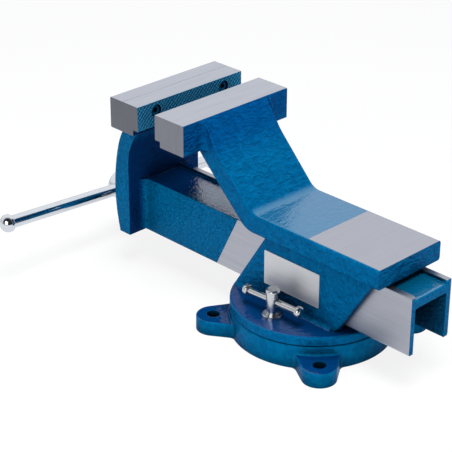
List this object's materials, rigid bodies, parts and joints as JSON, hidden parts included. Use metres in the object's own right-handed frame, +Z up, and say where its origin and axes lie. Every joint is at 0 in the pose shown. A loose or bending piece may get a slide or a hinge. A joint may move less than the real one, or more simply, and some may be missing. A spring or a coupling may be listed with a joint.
{
  "type": "swivel base bench vise",
  "caption": "Steel bench vise on a swivel base: sliding channel driven by a lead screw, replaceable jaw plates, rear anvil, two T-slot lock bolts.",
  "frame": {"origin": "where the swivel axis meets the bench, at the centre of the four base bolts", "axes": "+Z up along the swivel axis, -Y towards the user and the handle, X along the jaws"},
  "size_m": [0.3195, 0.4615, 0.2139],
  "materials": {
    "casting_paint": "wrinkled blue enamel over cast steel, with ground jaw tops and anvil face",
    "base_paint": "wrinkled blue enamel over cast iron",
    "jaw_steel": "ground tops and ends, blue painted diamond-cut gripping face",
    "screw_steel": "black oxide",
    "spindle_chrome": "bright chrome plate",
    "machined_steel": "turned, lightly oiled",
    "zinc": "bright zinc plate",
    "nut_iron": "machined cast iron",
    "label_foil": "satin foil, bare"
  },
  "bodies": {
    "base": {"swivel_base": "base_paint"},
    "body": {"vise_body": "casting_paint", "rear_jaw_plate": "jaw_steel", "rear_jaw_screws": "screw_steel", "label_plate": "label_foil", "lead_nut": "nut_iron", "lead_nut_screws": "screw_steel", "pivot_bolt": "screw_steel", "pivot_washer": "zinc", "t_nut_right": "screw_steel", "t_nut_left": "screw_steel", "lock_washer_right": "zinc", "lock_washer_left": "zinc"},
    "jaw": {"sliding_jaw": "casting_paint", "front_jaw_plate": "jaw_steel", "front_jaw_screws": "screw_steel"},
    "screw": {"spindle": "spindle_chrome", "thrust_washer": "machined_steel", "disc_springs": "machined_steel", "retaining_collar": "machined_steel", "split_pin": "zinc"},
    "handle": {"handle_bar": "spindle_chrome", "handle_knob_right": "spindle_chrome", "handle_knob_left": "spindle_chrome"},
    "lock_right": {"lock_bolt_right": "zinc"},
    "lock_right_bar": {"lock_bar_right": "zinc", "lock_bar_knobs_right": "zinc"},
    "lock_left": {"lock_bolt_left": "zinc"},
    "lock_left_bar": {"lock_bar_left": "zinc", "lock_bar_knobs_left": "zinc"}
  },
  "joints": [
    {"name": "swivel", "type": "hinge", "parent": "base", "child": "body", "pos_m": [0, 0, 0.02615], "axis": [0, 0, 1], "continuous": true},
    {"name": "jaw_slide", "type": "slide", "parent": "body", "child": "jaw", "axis": [0, 1, 0], "range_m": [-0.1234, 0.0263]},
    {"name": "spindle_turn", "type": "hinge", "parent": "jaw", "child": "screw", "pos_m": [0, -0.29325, 0.06215], "axis": [0, 1, 0], "range_deg": [-8880, 1890]},
    {"name": "handle_slide", "type": "slide", "parent": "screw", "child": "handle", "axis": [0.9978, 0, 0.0663], "range_m": [-0.1467, 0.1127]},
    {"name": "lock_right_turn", "type": "hinge", "parent": "body", "child": "lock_right", "pos_m": [0.0595, 0, 0.05405], "axis": [0, 0, 1], "range_deg": [-15, 15]},
    {"name": "lock_right_bar_slide", "type": "slide", "parent": "lock_right", "child": "lock_right_bar", "axis": [0.0523, -0.9986, 0], "range_m": [-0.0241, 0.0241]},
    {"name": "lock_left_turn", "type": "hinge", "parent": "body", "child": "lock_left", "pos_m": [-0.0595, 0, 0.05405], "axis": [0, 0, 1], "range_deg": [-15, 15]},
    {"name": "lock_left_bar_slide", "type": "slide", "parent": "lock_left", "child": "lock_left_bar", "axis": [0.0523, 0.9986, 0], "range_m": [-0.0241, 0.0241]}
  ],
  "couplings": [
    {"joint": "jaw_slide", "follows": "spindle_turn", "m_per_rad": 0.00079577}
  ]
}
